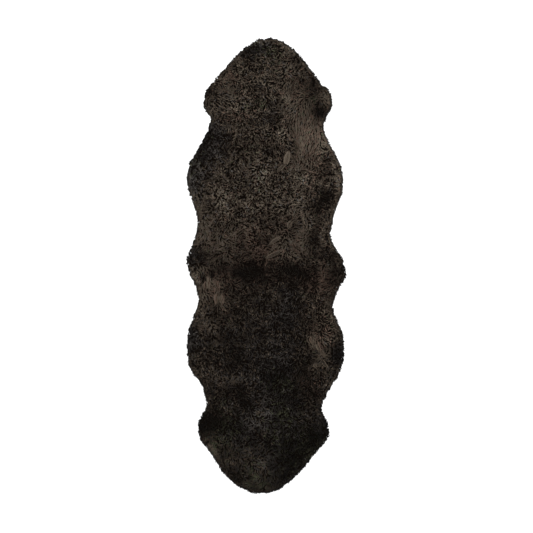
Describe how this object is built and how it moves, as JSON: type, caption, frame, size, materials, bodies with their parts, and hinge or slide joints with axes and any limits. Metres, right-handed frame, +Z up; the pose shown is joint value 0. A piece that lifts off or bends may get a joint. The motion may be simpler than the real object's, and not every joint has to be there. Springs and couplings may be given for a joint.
{
  "type": "double sheepskin rug",
  "caption": "Long flat floor rug of dark brown curly sheepskin, two skins sewn rump to rump, with a neck at each end.",
  "frame": {"origin": "on the floor, under the middle of the rug's outline", "axes": "+Z up out of the wool, +Y along the spine towards the far skin's neck, +X across to the right"},
  "size_m": [0.6292, 1.8008, 0.0343],
  "materials": {
    "suede": "matt suede side of tanned sheepskin",
    "wool": "dark brown curly wool"
  },
  "bodies": {
    "root": {"hide_far": "suede", "wool_far": "wool", "hide_near": "suede", "wool_near": "wool"}
  },
  "joints": []
}
